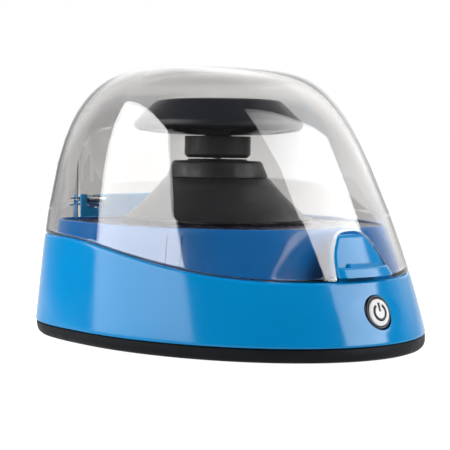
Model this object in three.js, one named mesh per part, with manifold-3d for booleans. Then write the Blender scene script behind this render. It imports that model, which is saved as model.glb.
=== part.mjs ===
// A mini centrifuge: an egg-shaped base, a hinged clear dome, and a tube rotor on a motor shaft.
// Millimetres, +Z up, front towards -Y, origin on the bench under the middle of the body.
import * as THREE from "three";
import { mergeVertices } from "three/addons/utils/BufferGeometryUtils.js";
import Module from "manifold-3d";

const wasm = await Module();
wasm.setup();

// ---------------------------------------------------------------- driving dimensions

// The body's skin, from the base plate to the top of the dome, is one drafted egg that closes over.
const BODY = {
  height: 112.7,
  datumY: 5.15, // front and rear reach are measured from here
  widestY: 17.9,
  side: { reach: 74.9, draft: 0.116, power: 3.3, root: 5.83 },
  rear: { reach: 74.85, draft: 0.013, power: 5.2, root: 4.3 },
  front: { reach: 85.4, draft: 0.315, power: 1.71, root: 2.33 },
  frontPlanPower: { atBase: 1.977, perMm: 0.0017 }, // the front grows squarer with height
  rearPlanPower: 3.18,
};
const PLAN_POINTS = 44;
const DOME_STEPS = 10;
const FAR = 120; // longer than any cut through the body
const FLATNESS = 0.06; // faces closer to flat than this are merged

// The line where the lid meets the base: low round the front, high round the rear.
const SEAM = { frontZ: 29.3, rearZ: 41.9, startY: -62.6, endY: 39.8 };
const SEAM_GAP = 0.5;

const PLATE_TOP = 5.6;
const PLATE_BOTTOM = 0.4;
const SHELL_BOTTOM = 5.9;
const SHELL_WALL = 2.6;
const LID_WALL = 2.2;
const BOWL_INSET = 3.2;
const BOWL_WALL = 2;
const BOWL_REAR_SHIFT = 4; // the lid's skirt swings inwards by this much as it opens
const BOWL_REAR_Y = 62.3;
const DECK_TOP = 48.3;
const DECK_THICKNESS = 2.3;
const RIM = { width: 1.4, height: 1 };
const CONE_SEAT_RADIUS = 42; // the round floor the motor's cone stands on
const MOTOR_OPENING_RADIUS = 22;
const SIDE_SLOTS = { x: 70, halfWidth: 9, y: [26, 36], z: [44.2, 45.7] };

const ROTOR_Y = 21.65;
const SHAFT_RADIUS = 1.6;
const TUBE_COUNT = 8;
const TUBE_HOLE_RADIUS = 5.5;
const TUBE_HOLE_TILT = THREE.MathUtils.degToRad(41);
const TUBE_MOUTH = { radius: 18, z: 99 };

const MOTOR = { radius: 16, z: [18.3, 58.5], bossRadius: 5, bossTopZ: 60.9 };
const MOTOR_CAP = { radius: 15.2, z: [14, 18], bossRadius: 5, bossLowZ: 11.6, terminals: [7.6, 9], endZ: 9.6 };
const MOTOR_SCREWS = { circle: 27, degrees: [90, 210, 330], holeRadius: 1.7 };
const DAMPER = { inner: 23, outer: 32, z: [44.3, 45.7] };
const SCREW = { headRadius: 2.7, headHeight: 1.6, shankRadius: 1.3 };
const FOOT = { radius: 7, height: 1.5, chamfer: 0.3 };

const HINGE = { y: 75.5, z: 54.5, pinRadius: 1.5, holeRadius: 1.85, knuckleRadius: 3 };
const RECESS = { halfWidth: 36.5, topY: 72.4, topZ: 77, lean: 0.052 };
const HOUSING = { halfWidth: 35, frontY: 72.5, rearY: 74.4, topZ: 57.5 };
const KNUCKLES = [
  [-34.5, -32],
  [-23, 23],
  [32, 34.5],
];
const HINGE_NICHES = [
  [-20.5, -8.5],
  [-6, 6],
  [8.5, 20.5],
];
// The lid's two hinge arms run between the knuckles.
const ARMS = { across: [[-31, -24], [24, 31]], startY: 69.6, halfHeight: 2.4, slotGap: 0.8 };

// The notch in the lid's front edge that the latch tab fills.
const NOTCH = { low: [15.3, 29.3], bulge: [14.1, 39.6], high: [9.6, 44.3], shoulder: [8.4, 47.2], topZ: 48.1 };
const TAB = { gap: 0.4, topGap: 1.6, inset: 0.6, thickness: 3.2, lowZ: 31.1 };
const LIP = { lowZ: 31.1, topZ: 34.6, lowHalfWidth: 14.5, topHalfWidth: 13.9, depth: 2.4 };
const LATCH_PIVOT = { y: -61.5, z: 25, radius: 3, pinRadius: 1.2, holeRadius: 1.55 };
const LATCH_LUGS = [13, 16]; // across, either side
const LATCH_SPRING = { frontY: -56.2, z: 40, turns: 3, radius: 2.6, wireRadius: 0.4 };
const LATCH_POCKET = { halfWidth: 22.5, y: -51.6 };

const BUTTON = { z: 17.9, tilt: THREE.MathUtils.degToRad(18), radius: 5.3, proud: 0.5, bezelRadius: 6.8 };
const DISH = { halfWidth: 14.2, halfHeight: 7.6, depth: 0.6 };

const JACK = { z: 18, socketRadius: 3.6, socketDepth: 9, outerRadius: 4.8 };
const POSTS = [
  [-44, -22],
  [44, -22],
  [-48, 46],
  [48, 46],
];
const FEET = [
  ["foot_front_left", -36, -40],
  ["foot_front_right", 36, -40],
  ["foot_rear_left", -44, 58],
  ["foot_rear_right", 44, 58],
];

// ---------------------------------------------------------------- materials

const plastic = (color, roughness) => new THREE.MeshStandardMaterial({ color, roughness, metalness: 0 });
const metal = (color, roughness) => new THREE.MeshStandardMaterial({ color, roughness, metalness: 1 });
const MATERIALS = {
  blue: plastic(0x0a86cf, 0.18),
  smokyClear: new THREE.MeshStandardMaterial({
    color: 0xd9d8d4,
    roughness: 0.05,
    transparent: true,
    opacity: 0.35,
  }),
  blackGloss: plastic(0x1d1e22, 0.3),
  blackMatte: plastic(0x232325, 0.6),
  rubber: plastic(0x151515, 0.9),
  redLead: plastic(0xa81414, 0.7),
  greyCap: plastic(0x8f8f8d, 0.45),
  board: plastic(0x1d5a35, 0.5),
  steel: metal(0xb9bcc0, 0.3),
  motorCan: metal(0x9b9fa3, 0.35),
};

// ---------------------------------------------------------------- solids

// A three.js geometry as a manifold-3d solid.
function solid(geometry) {
  const bare = (geometry.index ? geometry.toNonIndexed() : geometry.clone());
  bare.deleteAttribute("normal");
  bare.deleteAttribute("uv");
  const merged = mergeVertices(bare, 1e-4);
  return new wasm.Manifold(
    new wasm.Mesh({
      numProp: 3,
      vertProperties: merged.attributes.position.array,
      triVerts: new Uint32Array(merged.index.array),
    }),
  );
}

// A manifold-3d solid as a three.js geometry.
function geometryOf(made) {
  const mesh = made.getMesh();
  const geometry = new THREE.BufferGeometry();
  geometry.setAttribute("position", new THREE.BufferAttribute(mesh.vertProperties, 3));
  geometry.setIndex(new THREE.BufferAttribute(mesh.triVerts, 1));
  return geometry;
}

const join = (first, ...rest) => rest.reduce((all, next) => all.add(next), first);
const cut = (first, ...rest) => rest.reduce((all, next) => all.subtract(next), first);

const AXES = [new THREE.Vector3(1, 0, 0), new THREE.Vector3(0, 1, 0), new THREE.Vector3(0, 0, 1)];
const [X, Y, Z] = AXES;

function box([x0, x1], [y0, y1], [z0, z1]) {
  const geometry = new THREE.BoxGeometry(x1 - x0, y1 - y0, z1 - z0);
  return solid(geometry.translate((x0 + x1) / 2, (y0 + y1) / 2, (z0 + z1) / 2));
}

// A cylinder or cone frustum from one point to another.
function rod(start, end, radius, sides = 20, endRadius = radius) {
  const from = new THREE.Vector3(...start);
  const to = new THREE.Vector3(...end);
  const along = to.clone().sub(from);
  const geometry = new THREE.CylinderGeometry(endRadius, radius, along.length(), sides);
  const turn = new THREE.Quaternion().setFromUnitVectors(Y, along.normalize());
  const middle = from.add(to).multiplyScalar(0.5);
  return solid(geometry.applyQuaternion(turn).translate(...middle.toArray()));
}

// A profile of [radius, z] points, listed anticlockwise, turned round a vertical axis at [0, y].
function turned(profile, sides = 40, y = ROTOR_Y) {
  const points = [...profile, profile[0]].map(([radius, z]) => new THREE.Vector2(radius, z));
  const geometry = new THREE.LatheGeometry(points, sides);
  geometry.applyMatrix4(new THREE.Matrix4().makeBasis(X, Z, Y.clone().negate()));
  return solid(geometry.translate(0, y, 0));
}

// A profile of [y, z] points, listed anticlockwise seen from +X, extruded along X.
function prismAlongX(profile, [x0, x1]) {
  const shape = new THREE.Shape(profile.map(([y, z]) => new THREE.Vector2(y, z)));
  const geometry = new THREE.ExtrudeGeometry(shape, { depth: x1 - x0, bevelEnabled: false });
  geometry.applyMatrix4(new THREE.Matrix4().makeBasis(Y, Z, X));
  return solid(geometry.translate(x0, 0, 0));
}

// A shape drawn in x and z, extruded along Y.
function prismAlongY(shape, [y0, y1]) {
  const geometry = new THREE.ExtrudeGeometry(shape, { depth: y1 - y0, bevelEnabled: false, curveSegments: 6 });
  geometry.applyMatrix4(new THREE.Matrix4().makeBasis(X, Z, Y.clone().negate()));
  return solid(geometry.translate(0, y1, 0));
}

// ---------------------------------------------------------------- the body's skin

// How far the skin reaches from its datum at height z, for a surface inset by this much.
function reach({ reach: base, draft, power, root }, z, inset) {
  const share = Math.min(Math.max(z, 0) / (BODY.height - inset), 1);
  return (base - inset - draft * z) * (1 - share ** power) ** (1 / root);
}

const frontY = (z, inset = 0) => BODY.datumY - reach(BODY.front, z, inset);
const rearY = (z, inset = 0) => BODY.datumY + reach(BODY.rear, z, inset);

// One level of the skin: a superellipse whose front and rear halves differ.
function ring(z, inset) {
  const halfWidth = reach(BODY.side, z, inset);
  const frontPower = BODY.frontPlanPower.atBase + BODY.frontPlanPower.perMm * z;
  const points = [];
  for (let i = 0; i < PLAN_POINTS; i++) {
    const angle = (2 * Math.PI * i) / PLAN_POINTS;
    const front = Math.sin(angle) < 0;
    const length = front ? BODY.widestY - frontY(z, inset) : Math.max(rearY(z, inset) - BODY.widestY, 0.5);
    const power = front ? frontPower : BODY.rearPlanPower;
    const across = Math.abs(Math.cos(angle) / halfWidth) ** power;
    const along = Math.abs(Math.sin(angle) / length) ** power;
    const radius = (across + along) ** (-1 / power);
    points.push([radius * Math.cos(angle), BODY.widestY + radius * Math.sin(angle), z]);
  }
  return points;
}

// A closed solid through rings listed from the bottom up, with flat ends.
function loft(rings) {
  const count = rings[0].length;
  const corners = rings.flat();
  const centre = (points) => [0, points.reduce((sum, p) => sum + p[1], 0) / count, points[0][2]];
  const low = corners.push(centre(rings[0])) - 1;
  const high = corners.push(centre(rings[rings.length - 1])) - 1;
  const faces = [];
  for (let i = 0; i < count; i++) {
    const next = (i + 1) % count;
    faces.push(low, next, i);
    const top = (rings.length - 1) * count;
    faces.push(high, top + i, top + next);
    for (let level = 0; level < rings.length - 1; level++) {
      const a = level * count;
      const b = a + count;
      faces.push(a + i, a + next, b + next, a + i, b + next, b + i);
    }
  }
  const geometry = new THREE.BufferGeometry();
  geometry.setAttribute("position", new THREE.Float32BufferAttribute(corners.flat(), 3));
  geometry.setIndex(faces);
  return solid(geometry);
}

// The whole dome-topped body above lowZ. Levels crowd towards the top, where it curves most.
function body(inset, lowZ, steps = DOME_STEPS) {
  const top = BODY.height - inset;
  const levels = Array.from({ length: steps }, (_, k) => top * (1 - (1 - (k + 1) / (steps + 0.15)) ** 2.2));
  const heights = [lowZ, ...levels.filter((z) => z > lowZ + 4)];
  return loft(heights.map((z) => ring(z, inset)));
}

// A slice of the drafted lower body between two heights.
const slice = (inset, heights) => loft(heights.map((z) => ring(z, inset)));

function seamZ(y) {
  const share = THREE.MathUtils.clamp((y - SEAM.startY) / (SEAM.endY - SEAM.startY), 0, 1);
  return SEAM.frontZ + (SEAM.rearZ - SEAM.frontZ) * THREE.MathUtils.smoothstep(share, 0, 1);
}

// Everything above the seam line, shifted up or down by this much.
function aboveSeam(shift) {
  const steps = 14;
  const line = Array.from({ length: steps + 1 }, (_, i) => {
    const y = SEAM.startY + ((SEAM.endY - SEAM.startY) * i) / steps;
    return [y, seamZ(y) + shift];
  });
  const profile = [
    [-FAR, SEAM.frontZ + shift],
    ...line,
    [FAR, SEAM.rearZ + shift],
    [FAR, FAR],
    [-FAR, FAR],
  ];
  return prismAlongX(profile, [-FAR, FAR]);
}

// The scoop in the lid's rear that leaves room for the hinge, grown by this much.
function recessWedge(grow) {
  const wallY = (z) => RECESS.topY - RECESS.lean * (RECESS.topZ - z) - grow;
  const [low, high] = [10, 105];
  const profile = [
    [wallY(low), low],
    [FAR, low],
    [FAR, high],
    [wallY(high), high],
  ];
  const half = RECESS.halfWidth + grow;
  return prismAlongX(profile, [-half, half]);
}

// The latch notch's outline, shrunk by this much at the sides and top, running on below the lid's edge.
function notchShape(shrink, topShrink = shrink) {
  const lowZ = NOTCH.low[1] - 20;
  const inset = ([x, z]) => [x - shrink, z - topShrink / 2];
  const [low, bulge, high, shoulder] = [NOTCH.low, NOTCH.bulge, NOTCH.high, NOTCH.shoulder].map(inset);
  const topZ = NOTCH.topZ - topShrink;
  const shape = new THREE.Shape();
  shape.moveTo(-low[0], lowZ);
  shape.lineTo(low[0], lowZ);
  shape.lineTo(low[0], low[1]);
  shape.quadraticCurveTo(...bulge, ...high);
  shape.bezierCurveTo(...shoulder, high[0] / 2, topZ, 0, topZ);
  shape.bezierCurveTo(-high[0] / 2, topZ, -shoulder[0], shoulder[1], -high[0], high[1]);
  shape.quadraticCurveTo(-bulge[0], bulge[1], -low[0], low[1]);
  shape.closePath();
  return shape;
}

// The button's own frame: out of the front skin, leaning back with it.
const buttonAxis = new THREE.Vector3(0, -Math.cos(BUTTON.tilt), Math.sin(BUTTON.tilt));
const buttonSeat = new THREE.Vector3(0, frontY(BUTTON.z), BUTTON.z);
const outFromButton = (distance) => buttonSeat.clone().addScaledVector(buttonAxis, distance).toArray();
const buttonRod = (from, to, radius, sides = 28) => rod(outFromButton(from), outFromButton(to), radius, sides);

// ---------------------------------------------------------------- sub-parts

function makeBaseShell() {
  const outer = slice(0, [SHELL_BOTTOM, 18, 30, 44]);
  const inner = slice(SHELL_WALL, [SHELL_BOTTOM - 1, 18, 30, 45]);
  const shell = cut(
    outer,
    inner,
    aboveSeam(0),
    makeDish(),
    buttonRod(-8, 4, BUTTON.bezelRadius + 0.3),
    rod([0, 70, JACK.z], [0, 90, JACK.z], JACK.outerRadius + 0.3, 24),
  );
  return join(shell, ...[-1, 1].map(makeLatchLug));
}

// The shallow oval dip round the button, an even depth below the curved skin.
function makeDish() {
  const oval = new THREE.CylinderGeometry(1.06, 0.94, 8, 32);
  oval.scale(DISH.halfWidth, 1, DISH.halfHeight).rotateX(Math.PI / 2 - BUTTON.tilt);
  oval.translate(...outFromButton(0));
  return cut(solid(oval), slice(DISH.depth, [5, 18, 30]));
}

// One of the two ears inside the shell's front that carry the latch pin.
function makeLatchLug(side) {
  const across = LATCH_LUGS.map((x) => side * x).sort((a, b) => a - b);
  const { y, z, holeRadius } = LATCH_PIVOT;
  const ear = box(across, [-80, y + 3], [z - 5, z + 3]).intersect(slice(1.2, [z - 6, z + 4]));
  return cut(ear, rod([-30, y, z], [30, y, z], holeRadius, 16));
}

function makeBasePlate() {
  const outer = loft([
    ring(PLATE_BOTTOM, 3.4),
    ring(1.2, 2),
    ring(2.6, 0.8),
    ring(PLATE_TOP, 0.1),
  ]);
  const pocket = slice(SHELL_WALL + 2.2, [3, PLATE_TOP + 1]);
  const screwHoles = POSTS.flatMap(([x, y]) => [
    rod([x, y, 0], [x, y, 2.2], 3.1, 16),
    rod([x, y, 0], [x, y, 6], 1.8, 12),
  ]);
  const footSeats = FEET.map(([, x, y]) => rod([x, y, 0], [x, y, 1.8], 7.3, 20));
  const vents = [-16, -8, 0, 8, 16].map((x) => box([x - 1, x + 1], [-12, 12], [0, 4]));
  return cut(outer, pocket, ...screwHoles, ...footSeats, ...vents);
}

// The bowl's plan, this much inside its skin and cut back where the lid's skirt and the latch need room.
function bowlBlock(grow, heights) {
  const whole = slice(BOWL_INSET + grow, heights);
  const halfWidth = LATCH_POCKET.halfWidth + grow;
  return cut(
    whole.intersect(whole.translate([0, -BOWL_REAR_SHIFT, 0])),
    box([-FAR, FAR], [BOWL_REAR_Y - grow, FAR], [0, FAR]),
    box([-halfWidth, halfWidth], [-FAR, LATCH_POCKET.y + grow], [0, FAR]),
  );
}

function makeBowl() {
  const skirtLevels = [20, 30, 40];
  const outer = bowlBlock(0, [...skirtLevels, DECK_TOP]);
  const inner = bowlBlock(BOWL_WALL, [...skirtLevels, DECK_TOP - DECK_THICKNESS]);
  const posts = POSTS.map(([x, y]) =>
    cut(rod([x, y, 6.2], [x, y, DECK_TOP - 1.5], 4, 16), rod([x, y, 0], [x, y, 24], 1.7, 12)),
  );
  const tray = cut(
    bowlBlock(RIM.width, [DECK_TOP - RIM.height, DECK_TOP + 1]),
    rod([0, ROTOR_Y, 40], [0, ROTOR_Y, 60], CONE_SEAT_RADIUS, 40),
  );
  const { x: slotX, halfWidth, y, z } = SIDE_SLOTS;
  const sideSlots = [-slotX, slotX].map((middle) => box([middle - halfWidth, middle + halfWidth], y, z));
  return cut(
    join(cut(outer, inner, belowSeam(-8)), ...posts),
    tray,
    rod([0, ROTOR_Y, 30], [0, ROTOR_Y, 60], MOTOR_OPENING_RADIUS, 36),
    ...sideSlots,
    ...motorScrewHoles(),
  );
}

// Everything below the seam line, shifted up or down by this much.
function belowSeam(shift) {
  return cut(box([-FAR, FAR], [-FAR, FAR], [-FAR, FAR]), aboveSeam(shift));
}

function motorScrewPlaces() {
  return MOTOR_SCREWS.degrees.map((degrees) => {
    const angle = THREE.MathUtils.degToRad(degrees);
    return [MOTOR_SCREWS.circle * Math.cos(angle), ROTOR_Y + MOTOR_SCREWS.circle * Math.sin(angle)];
  });
}

const motorScrewHoles = () =>
  motorScrewPlaces().map(([x, y]) => rod([x, y, 40], [x, y, 60], MOTOR_SCREWS.holeRadius, 12));

function makeLid() {
  const outer = cut(body(0, 24), recessWedge(0));
  const inner = cut(body(LID_WALL, 20), recessWedge(LID_WALL));
  const shell = cut(outer, inner, belowSeam(SEAM_GAP));
  const arms = ARMS.across.map(([x0, x1]) =>
    join(
      box([x0, x1], [ARMS.startY, HINGE.y], [HINGE.z - ARMS.halfHeight, HINGE.z + ARMS.halfHeight]),
      rod([x0, HINGE.y, HINGE.z], [x1, HINGE.y, HINGE.z], HINGE.knuckleRadius - 0.2, 24),
    ),
  );
  return cut(
    join(shell, ...arms),
    prismAlongY(notchShape(0), [-FAR, -30]),
    rod([-FAR, HINGE.y, HINGE.z], [FAR, HINGE.y, HINGE.z], HINGE.holeRadius, 20),
  );
}

// The raised housing behind the lid's scoop: a wall with a slot for each of the lid's arms, and the knuckles.
function makeHingeBlock() {
  const { halfWidth, frontY: front, rearY: rear, topZ } = HOUSING;
  const { y, z, knuckleRadius, holeRadius } = HINGE;
  const [footZ, seatZ] = [SEAM.rearZ - 6, SEAM.rearZ + 0.3];
  const skin = slice(0.4, [footZ - 1, 44, 52, 60]);
  const foot = box([-halfWidth, halfWidth], [front, y + knuckleRadius], [seatZ, z - 4.2]);
  const wall = box([-halfWidth, halfWidth], [front, rear], [seatZ, topZ]);
  const towers = KNUCKLES.map((across) => box(across, [y - knuckleRadius, y + knuckleRadius], [seatZ, z]));
  const knuckles = KNUCKLES.map(([x0, x1]) => rod([x0, y, z], [x1, y, z], knuckleRadius, 24));
  const root = box([-28, 28], [front, 75.6], [footZ, seatZ + 2]).intersect(
    slice(SHELL_WALL + 0.4, [footZ - 1, 44, 46]),
  );
  const slots = ARMS.across.map(([x0, x1]) =>
    box([x0 - ARMS.slotGap, x1 + ARMS.slotGap], [front - 2, rear + 0.6], [z - 3.2, topZ + 2]),
  );
  const niches = HINGE_NICHES.map((across) => box(across, [front - 2, front + 1.1], [z - 5, topZ - 1.5]));
  return cut(
    join(join(foot, wall, ...towers).intersect(skin), ...knuckles, root),
    ...slots,
    ...niches,
    rod([-FAR, y, z], [FAR, y, z], holeRadius, 20),
  );
}

const makeHingePin = () => rod([-33, HINGE.y, HINGE.z], [33, HINGE.y, HINGE.z], HINGE.pinRadius, 16);

function makeMotorCover() {
  return turned([
    [22.4, 66],
    [19.6, 66],
    [38, 48.7],
    [40.4, 48.7],
    [40.4, 49.4],
  ]);
}

function makeCoverCollar() {
  return turned([
    [5, 73.4],
    [5, 71],
    [17, 71],
    [19.4, 66.3],
    [21.8, 66.3],
    [19.4, 72.6],
    [18.4, 73.4],
  ]);
}

function makeRotorDisc() {
  const disc = turned(
    [
      [6, 97],
      [6, 84.2],
      [24, 84.8],
      [34.6, 86.2],
      [36.5, 88.2],
      [36, 90.2],
      [27.2, 98.8],
      [26, 99.4],
      [24.6, 99.2],
      [10, 93.6],
      [8.6, 97],
    ],
    40,
  );
  const holes = [];
  for (let i = 0; i < TUBE_COUNT; i++) {
    const angle = (2 * Math.PI * (i + 0.5)) / TUBE_COUNT;
    const at = (distance) => {
      const radius = TUBE_MOUTH.radius + distance * Math.sin(TUBE_HOLE_TILT);
      const z = TUBE_MOUTH.z - distance * Math.cos(TUBE_HOLE_TILT);
      return [radius * Math.cos(angle), ROTOR_Y + radius * Math.sin(angle), z];
    };
    holes.push(rod(at(-14), at(26), TUBE_HOLE_RADIUS, 16));
  }
  return cut(disc, ...holes);
}

function makeRotorHub() {
  return turned([
    [SHAFT_RADIUS + 0.3, 95.4],
    [SHAFT_RADIUS + 0.3, 74.6],
    [12.8, 74.6],
    [14.2, 76],
    [14.2, 83.9],
    [5.7, 83.9],
    [5.7, 95.4],
  ]);
}

// The knob that holds the rotor on its hub, with a grip of flats.
const makeRotorKnob = () =>
  turned(
    [
      [0, 98.8],
      [0, 97.3],
      [7, 97.3],
      [7, 98.3],
      [6.4, 98.8],
    ],
    12,
  );

const makeMotorShaft = () => rod([0, ROTOR_Y, 61.2], [0, ROTOR_Y, 95], SHAFT_RADIUS, 16);

function makeMotorCan() {
  const [lowZ, highZ] = MOTOR.z;
  const can = rod([0, ROTOR_Y, lowZ], [0, ROTOR_Y, highZ], MOTOR.radius, 36);
  const boss = rod([0, ROTOR_Y, highZ - 0.5], [0, ROTOR_Y, MOTOR.bossTopZ], MOTOR.bossRadius, 24);
  return join(can, boss);
}

// The motor's plastic end, with its bearing boss and two terminals pointing down.
function makeMotorEndCap() {
  const { radius, z, bossRadius, bossLowZ, terminals, endZ } = MOTOR_CAP;
  const [near, far] = terminals;
  const across = [
    [-far, -near],
    [near, far],
  ];
  return join(
    rod([0, ROTOR_Y, z[0]], [0, ROTOR_Y, z[1]], radius, 32),
    rod([0, ROTOR_Y, bossLowZ], [0, ROTOR_Y, z[0] + 0.2], bossRadius, 20),
    ...across.map((x) => box(x, [ROTOR_Y - 1.5, ROTOR_Y + 1.5], [endZ, z[0] + 0.5])),
  );
}

function makeMotorBracket() {
  const cradle = turned([
    [18.6, 41.8],
    [18.6, 28],
    [16.4, 28],
    [16.4, 44],
    [32, 44],
    [32, 41.8],
  ].reverse());
  return cut(cradle, ...motorScrewHoles());
}

function makeMotorDamper() {
  const { inner, outer, z } = DAMPER;
  const washer = turned([
    [inner, z[1]],
    [inner, z[0]],
    [outer, z[0]],
    [outer, z[1]],
  ]);
  return cut(washer, ...motorScrewHoles());
}

// A pan-head screw pointing up, its head resting under z.
function makeScrew(x, y, z, length) {
  const head = rod([x, y, z - SCREW.headHeight], [x, y, z], SCREW.headRadius, 16);
  const shank = rod([x, y, z - 0.2], [x, y, z + length], SCREW.shankRadius, 12);
  return join(head, shank);
}

function makeFoot(x, y) {
  const { radius, height, chamfer } = FOOT;
  const profile = [
    [0, height],
    [0, 0],
    [radius - chamfer, 0],
    [radius, chamfer],
    [radius, height],
  ];
  return turned(profile, 20, 0).translate([x, y, 0]);
}

function makeLatchTab() {
  const levels = [28, 36, 42, 48];
  const back = slice(TAB.inset + TAB.thickness, [19, ...levels, 55]);
  const face = slice(TAB.inset, [20, ...levels, 54]).subtract(back);
  const outline = prismAlongY(notchShape(TAB.gap, TAB.topGap), [-FAR, -40]);
  const tab = cut(face.intersect(outline), box([-FAR, FAR], [-FAR, FAR], [0, TAB.lowZ]));
  const proud = slice(-LIP.depth, [20, 28, 34, 40]).subtract(slice(2, [19, 28, 34, 41]));
  const lipShape = new THREE.Shape([
    new THREE.Vector2(-LIP.lowHalfWidth, LIP.lowZ),
    new THREE.Vector2(LIP.lowHalfWidth, LIP.lowZ),
    new THREE.Vector2(LIP.topHalfWidth, LIP.topZ),
    new THREE.Vector2(-LIP.topHalfWidth, LIP.topZ),
  ]);
  const lip = proud.intersect(prismAlongY(lipShape, [-FAR, -40]));
  const { y, z, radius } = LATCH_PIVOT;
  const web = prismAlongX(
    [
      [y - radius, z],
      [y + radius, z],
      [y + 0.5, 36],
      [y - 5.2, 36],
      [y - 5.2, 33],
      [y - 1.4, 31],
    ],
    [-8, 8],
  );
  const barrel = rod([-12, y, z], [12, y, z], radius, 20);
  const whole = join(tab, lip, web, barrel);
  return cut(whole, rod([-30, y, z], [30, y, z], LATCH_PIVOT.holeRadius, 16));
}

function makeLatchPin() {
  const { y, z, pinRadius } = LATCH_PIVOT;
  return rod([-16.5, y, z], [16.5, y, z], pinRadius, 12);
}

// A compression coil between the tab's back and the pocket wall.
function makeLatchSpring() {
  const { frontY: startY, z, turns, radius, wireRadius } = LATCH_SPRING;
  const endY = LATCH_POCKET.y - 0.9;
  const points = [];
  for (let i = 0; i <= turns * 10; i++) {
    const angle = (2 * Math.PI * i) / 10;
    const along = startY + ((endY - startY) * i) / (turns * 10);
    points.push(new THREE.Vector3(radius * Math.cos(angle), along, z + radius * Math.sin(angle)));
  }
  const path = new THREE.CatmullRomCurve3(points);
  const wire = new THREE.Shape();
  wire.absarc(0, 0, wireRadius, 0, 2 * Math.PI);
  return solid(
    new THREE.ExtrudeGeometry(wire, { extrudePath: path, steps: turns * 10, curveSegments: 6, bevelEnabled: false }),
  );
}

const makeButtonBezel = () => cut(buttonRod(-4.2, -0.2, BUTTON.bezelRadius), buttonRod(-6, 2, BUTTON.radius + 0.35));
const makeButtonCap = () => join(buttonRod(-5.2, BUTTON.proud, BUTTON.radius), buttonRod(-7.2, -5, 2));
const makeSwitchBody = () => buttonRod(-12, -9, 3.4, 12).add(buttonRod(-9.1, -8.5, 1.6, 12));

function makeSwitchBoard() {
  const board = new THREE.BoxGeometry(24, 1.6, 16).rotateX(-BUTTON.tilt).translate(...outFromButton(-13.2));
  return solid(board);
}

function makeMainBoard() {
  const board = box([-34, 34], [-46, -18], [10, 11.6]);
  const spacers = [-30, 30].flatMap((x) => [-43, -21].map((y) => rod([x, y, 3.3], [x, y, 10.2], 2, 12)));
  return join(board, ...spacers);
}

const makeCapacitor = () => rod([-20, -32, 11.9], [-20, -32, 25], 5, 20);
const makeTransistor = () => join(box([8, 18], [-36, -32], [11.9, 25]), box([8, 18], [-32.2, -31.2], [11.9, 30]));
const makeLidSensor = () => box([-3, 3], [55, 59.8], [38, 45.6]);

function makePowerJack() {
  const mouthY = rearY(JACK.z) - 0.3;
  const collar = rod([0, mouthY - 6, JACK.z], [0, mouthY, JACK.z], JACK.outerRadius, 24);
  const housing = box([-6, 6], [mouthY - 16, mouthY - 4.2], [JACK.z - 6, JACK.z + 6]);
  const socket = rod([0, mouthY - JACK.socketDepth, JACK.z], [0, mouthY + 1, JACK.z], JACK.socketRadius, 20);
  return cut(join(collar, housing), socket);
}

// A lead that follows its points, settled between the board and the motor.
function makeLead(points) {
  const path = new THREE.CatmullRomCurve3(points.map((p) => new THREE.Vector3(...p)));
  const section = new THREE.Shape();
  section.absarc(0, 0, 0.9, 0, 2 * Math.PI);
  return solid(
    new THREE.ExtrudeGeometry(section, { extrudePath: path, steps: 18, curveSegments: 8, bevelEnabled: false }),
  );
}

// ---------------------------------------------------------------- assembly

const centrifuge = new THREE.Group();

function place(name, made, material) {
  const mesh = new THREE.Mesh(geometryOf(made.simplify(FLATNESS)), MATERIALS[material]);
  mesh.name = name;
  centrifuge.add(mesh);
}

place("base_shell", makeBaseShell(), "blue");
place("base_plate", makeBasePlate(), "blackMatte");
for (const [name, x, y] of FEET) place(name, makeFoot(x, y), "rubber");
POSTS.forEach(([x, y], i) => place(`base_screw_${i + 1}`, makeScrew(x, y, 1.9, 16), "steel"));
place("bowl", makeBowl(), "blue");
place("hinge_block", makeHingeBlock(), "blue");
place("hinge_pin", makeHingePin(), "steel");
place("lid", makeLid(), "smokyClear");

place("motor_cover", makeMotorCover(), "blackMatte");
place("cover_collar", makeCoverCollar(), "blackMatte");
place("motor_can", makeMotorCan(), "motorCan");
place("motor_end_cap", makeMotorEndCap(), "blackMatte");
place("motor_bracket", makeMotorBracket(), "blackMatte");
place("motor_damper", makeMotorDamper(), "rubber");
motorScrewPlaces().forEach(([x, y], i) => place(`motor_screw_${i + 1}`, makeScrew(x, y, 41.5, 6), "steel"));
place("motor_shaft", makeMotorShaft(), "steel");
place("rotor_disc", makeRotorDisc(), "blackGloss");
place("rotor_hub", makeRotorHub(), "blackMatte");
place("rotor_knob", makeRotorKnob(), "blackGloss");

place("latch_tab", makeLatchTab(), "blue");
place("latch_pin", makeLatchPin(), "steel");
place("latch_spring", makeLatchSpring(), "steel");
place("button_bezel", makeButtonBezel(), "blackGloss");
place("power_button", makeButtonCap(), "greyCap");
place("button_switch", makeSwitchBody(), "blackMatte");
place("switch_board", makeSwitchBoard(), "board");

place("main_board", makeMainBoard(), "board");
place("capacitor", makeCapacitor(), "blackMatte");
place("drive_transistor", makeTransistor(), "blackMatte");
place("lid_sensor", makeLidSensor(), "blackMatte");
place("power_jack", makePowerJack(), "blackMatte");
const leadRoute = (side) => [
  [side * 4, -24, 12.9],
  [side * 5, -19, 15],
  [side * 7, -8, 11],
  [side * 8.3, 8, 8.2],
  [side * 8.3, 17, 7.6],
  [side * 8.3, ROTOR_Y, 8.3],
];
place("motor_lead_red", makeLead(leadRoute(-1)), "redLead");
place("motor_lead_black", makeLead(leadRoute(1)), "rubber");

export default centrifuge;
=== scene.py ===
import math

import bpy
import bmesh
import numpy as np
from mathutils import Matrix, Vector


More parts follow.
